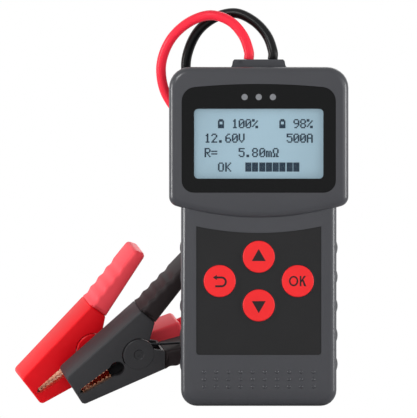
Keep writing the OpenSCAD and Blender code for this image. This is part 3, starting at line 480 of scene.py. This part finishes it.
def make_lens():
    """Dark where the sheet is printed, and almost nothing in the window."""
    finish = start_finish("lens", "#08090a", 0.12, Specular_IOR_Level=0.15)

    def calculate(operation, *values):
        return add_node(finish.node_tree, "ShaderNodeMath", enumerate(values), operation=operation)[0]

    place = add_node(finish.node_tree, "ShaderNodeTexCoord")["Object"]
    part = add_node(finish.node_tree, "ShaderNodeSeparateXYZ", {0: place})
    squares = []
    for axis, middle, half in zip("XZ", WINDOW_MIDDLE, WINDOW_HALF):
        away = calculate("ABSOLUTE", calculate("SUBTRACT", part[axis], middle * MM))
        past = calculate("MAXIMUM", calculate("SUBTRACT", away, (half - WINDOW_CORNER) * MM), 0.0)
        squares.append(calculate("POWER", past, 2.0))
    reach = calculate("SQRT", calculate("ADD", *squares))
    printed = calculate("GREATER_THAN", reach, WINDOW_CORNER * MM)
    alpha = calculate("MAXIMUM", printed, PANE_COVERS)
    finish.node_tree.links.new(alpha, shader_inputs(finish)["Alpha"])
    drift_gloss(finish, 30, 0.13, 0.2)
    finish.blend_method = "BLEND"
    return finish


put_finish(frame["nodes"]["screen_lens"], make_lens())
print("window:", 2 * WINDOW_HALF[0], "by", 2 * WINDOW_HALF[1], "mm")

# %% [markdown]
# ## The display
# The glass of the display is a pale blue grey and is lit from behind. A lamp behind it would need clear
# glass and many samples, so the glass is an opaque plate that glows a little by itself.

# %% Display glass
GLASS_COLOUR = "#9db8c6"

glass = start_finish("display_glass", GLASS_COLOUR, 0.2, Specular_IOR_Level=0.2,
                     Emission_Color=linear(GLASS_COLOUR), Emission_Strength=0.25)
drift_colour(glass, 30, 0.03)
put_finish(frame["nodes"]["display_glass"], glass)
glass_low, glass_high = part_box("display_glass")
print("display glass in mm:", np.round(np.subtract(glass_high, glass_low) / MM, 1))

# %% [markdown]
# The readout is drawn in small dark dots, five across and seven up for each sign. A font would give
# letters with curves, so each sign is written here as its pattern of dots. Each row of a sign is one
# number of five bits, from the highest row down. The readout shows only figures, units and plain signs.

# %% Dot patterns
SIGNS = {
    "0": "0E 11 13 15 19 11 0E", "1": "04 0C 04 04 04 04 0E", "2": "0E 11 01 02 04 08 1F",
    "5": "1F 10 1E 01 01 11 0E", "6": "06 08 10 1E 11 11 0E", "8": "0E 11 11 0E 11 11 0E",
    "9": "0E 11 11 0F 01 02 0C", "%": "18 19 02 04 08 13 03", ".": "00 00 00 00 00 0C 0C",
    "V": "11 11 11 11 11 0A 04", "A": "0E 11 11 1F 11 11 11", "R": "1E 11 11 1E 14 12 11",
    "=": "00 00 1F 00 1F 00 00", "m": "00 00 1A 15 15 15 15", "O": "0E 11 11 11 11 11 0E",
    "K": "11 12 14 18 14 12 11", "W": "0E 11 11 11 0A 0A 1B", "b": "0E 1F 11 11 1F 1F 1F",
    "#": "1F 1F 1F 1F 1F 1F 1F",
}  # W stands for the sign of the ohm, b for a battery and # for a full block
READOUT = ["  b 100%   b 98%", "12.60V      500A", "R=   5.80mW     ", "  OK  ########  "]
print(len(SIGNS), "signs")

# %% [markdown]
# The real dots lie inside the glass. Here every run of dots that touch is one thin plate on its face, and
# the whole readout is one mesh. Each dot is drawn one and a half dots wide, as thick as the real
# strokes look, so the dots are laid on a grid of half widths, and a run starts and ends where that grid
# changes.

# %% From signs to runs of dots
SIGN_PITCH, ROW_PITCH = 3.42, 7.25  # from sign to sign, and from row to row
DOT_W, DOT_H = 0.56, 0.66  # from dot to dot, across and up
TOP_LEFT = (-27.2, 143.2)


def dot_runs(rows):
    """Left end, lower edge and width of every run of dots."""
    found = []
    for r, text in enumerate(rows):
        grid = np.zeros((7, round(len(text) * SIGN_PITCH / DOT_W * 2) + 4), int)
        for c, sign in enumerate(text):
            if sign != " ":
                codes = np.array([int(code, 16) for code in SIGNS[sign].split()])
                down, across = np.nonzero(codes[:, None] >> np.arange(4, -1, -1) & 1)
                start = round(c * SIGN_PITCH / DOT_W * 2) + 2 * across
                grid[down[:, None], start[:, None] + np.arange(3)] = 1
        change = np.diff(grid, axis=1, prepend=0)
        down, begin = np.nonzero(change == 1)
        end = np.nonzero(change == -1)[1]
        left, lower = TOP_LEFT[0] + begin * DOT_W / 2, TOP_LEFT[1] - r * ROW_PITCH - down * DOT_H
        found.append(np.column_stack([left, lower, (end - begin) * DOT_W / 2]))
    return np.vstack(found)


# %% Readout on the glass
DISPLAY_FACE = -11.5  # depth of the front of the glass
INK_T = 0.05  # thickness of a printed plate, the back of which is sunk in what it is printed on
READOUT_PROUD = 0.04
PLATE_H = 0.64


def add_plates(name, runs, height, front, thick):
    """One thin box for each run (x, z, width): its lower left corner, plus each corner of a unit box times
    the size of this one."""
    unit = np.array([(x, y, z) for y in (0, 1) for x, z in ((0, 0), (1, 0), (1, 1), (0, 1))])
    sides = np.array([(0, 1, 2, 3), (5, 4, 7, 6), (4, 0, 3, 7), (1, 5, 6, 2), (3, 2, 6, 7), (4, 5, 1, 0)])
    size = np.column_stack([runs[:, 2], np.full(len(runs), thick), np.full(len(runs), height)])
    start = np.column_stack([runs[:, 0], np.full(len(runs), front), runs[:, 1]])
    points = (start[:, None] + unit * size[:, None]).reshape(-1, 3)
    faces = (np.arange(len(runs))[:, None, None] * 8 + sides).reshape(-1, 4)
    return add_mesh(name, points, faces, smooth=False)


runs = dot_runs(READOUT)
readout = add_plates("readout", runs, PLATE_H, DISPLAY_FACE - READOUT_PROUD, INK_T)
readout_ink = moulded("readout_ink", "#31404f", 0.5, grain_mm=0.5, depth_mm=0.001, drift=0.04, shine=0.1)
put_finish(readout, readout_ink)
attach(readout, "tester")
print(len(runs), "runs of dots in the readout")

# %% [markdown]
# ## Signs on the keys
# Each key is a red button with a dark sign printed on it: two triangles, a return arrow and OK. Painted in
# the key's material, each sign would need a formula of its own. It is drawn as flat outlines instead, and
# each outline gets a little thickness. A sign rides with its key, so it goes in when the key is pressed.

# %% Helpers for flat signs
def add_outlines(name, outlines, front, thick):
    """Thin plate for each outline of (x, z) points, which run anticlockwise seen from the front."""
    points, faces = [], []
    for outline in outlines:
        n, base = len(outline), sum(map(len, points))
        ring = np.arange(n)
        ahead = (ring + 1) % n
        near = np.column_stack([outline[:, 0], np.full(n, front), outline[:, 1]])
        points += [near, near + (0, thick, 0)]
        faces += [(base + ring).tolist(), (base + n + ring)[::-1].tolist()]
        faces += (base + np.column_stack([ring, ring + n, ahead + n, ahead])).tolist()
    return add_mesh(name, np.vstack(points), faces, smooth=False)


def arc(middle, half_size, start, end):
    """Points at middle + half_size * (cos a, sin a), for a from start to end in degrees."""
    a = np.radians(np.linspace(start, end, 16))
    return np.column_stack([np.cos(a), np.sin(a)]) * half_size + middle


def stroke(path, width):
    """Outline of a line of the given width: the path shifted by half the width to both sides."""
    p = np.asarray(path, float)
    along = np.gradient(p, axis=0)
    along /= np.linalg.norm(along, axis=1)[:, None]
    across = np.column_stack([-along[:, 1], along[:, 0]]) * width / 2
    return np.vstack([p - across, (p + across)[::-1]])


# %% Letters and arrows, each about its own middle
LETTER_H, LETTER_STROKE = 5.2, 0.8
ARROW_STROKE = 1.0


def letter_o(middle, width):
    """Oval ring in two halves, so that each is one plain outline."""
    outer = np.array([width, LETTER_H]) / 2
    inner = outer - LETTER_STROKE
    return [np.vstack([arc(middle, outer, start, start + 180), arc(middle, inner, start, start + 180)[::-1]])
            for start in (90, 270)]


def letter_k(left):
    """Stem, arm and leg."""
    low, inner = -LETTER_H / 2, left + LETTER_STROKE
    stem = [(left, low), (inner, low), (inner, -low), (left, -low)]
    arm = [(inner, -0.55), (inner + 0.35, -0.2), (left + 3.1, -low), (left + 2.0, -low), (inner, 0.55)]
    leg = [(left + 1.15, 0.35), (left + 2.15, low), (left + 3.3, low), (left + 1.75, 1.0)]
    return [np.array(stem), np.array(arm), np.array(leg)]


triangle = np.array([(-3.5, -2.15), (3.5, -2.15), (0, 3.9)])
return_path = np.vstack([(-2.2, -2.6), arc((0.9, -0.4), (2.2, 2.2), -90, 90), (-1.4, 1.8)])
return_head = np.array([(-3.4, 1.8), (-1.4, 0.5), (-1.4, 3.1)])

# %% Put the signs on the keys
KEY_AT = {"up": (0, 74.8), "back": (-19.6, 62.6), "ok": (19.6, 62.6), "down": (0, 50.4)}
KEY_FACE = -13.5
SIGN_PROUD = 0.03
KEY_SIGNS = {
    "up": [triangle],
    "down": [triangle[::-1] * (1, -1)],
    "back": [stroke(return_path, ARROW_STROKE), return_head],
    "ok": letter_o((-2.1, 0), 4.7) + letter_k(1.0),
}
sign_ink = moulded("sign_ink", "#2a2022", 0.5, grain_mm=0.4, depth_mm=0.002, shine=0.15)
for key, outlines in KEY_SIGNS.items():
    placed = [outline + KEY_AT[key] for outline in outlines]
    sign = add_outlines(f"{key}_sign", placed, KEY_FACE - SIGN_PROUD, INK_T)
    put_finish(sign, sign_ink)
    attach(sign, key + "_key")
print(len(KEY_SIGNS), "signs on the keys")

# %% [markdown]
# ## Keypad film
# The film round the keys is matt and almost black. Round each key it is raised into a fine soft bead. A
# torus would do, but half of it would lie unseen in the film, so the bead's section is a half circle,
# closed by one point behind it. It is turned round the key's axis, and its grid is closed both ways.

# %% Film and beads
KEYPAD_FACE = -12.8
BEAD_R, BEAD_W, BEAD_H = 8.45, 0.5, 0.2  # radius round the key, and width and height of the bead
BEAD_SUNK = 0.05
SECTION = np.radians([0, 30, 60, 90, 120, 150, 180, 270])  # angles round the bead's section


def ring_faces(rows, columns):
    """Faces of a grid that is closed both ways."""
    row, column = np.meshgrid(np.arange(rows), np.arange(columns), indexing="ij")
    ahead, beside = (row + 1) % rows, (column + 1) % columns
    corners = [(row, column), (ahead, column), (ahead, beside), (row, beside)]
    return np.stack([r * columns + c for r, c in corners], axis=-1).reshape(-1, 4)


def add_bead(name, x, z):
    """Bead: at the angle a round the key and b round the section, the point lies at the distance
    BEAD_R + BEAD_W / 2 * cos b from the key's axis, and BEAD_H * sin b in front of the bead's base."""
    a, b = np.meshgrid(np.linspace(0, 2 * np.pi, 96, endpoint=False), SECTION, indexing="ij")
    r = BEAD_R + BEAD_W / 2 * np.cos(b)
    y = KEYPAD_FACE + BEAD_SUNK - BEAD_H * np.sin(b)
    points = np.stack([x + r * np.cos(a), y, z + r * np.sin(a)], axis=-1)
    return add_mesh(name, points.reshape(-1, 3), ring_faces(*a.shape))


film = moulded("keypad_film", "#232324", 0.5, grain_mm=0.25, depth_mm=0.006, shine=0.15)
put_finish(frame["nodes"]["keypad_panel"], film)
for key, place in KEY_AT.items():
    bead = add_bead(f"{key}_bead", *place)
    put_finish(bead, finishes["black_part"])
    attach(bead, "tester")
print(len(KEY_AT), "beads")

# %% [markdown]
# ## Last step
# The scene is brought up to date once more.

# %% Bring the scene up to date
bpy.context.view_layer.update()
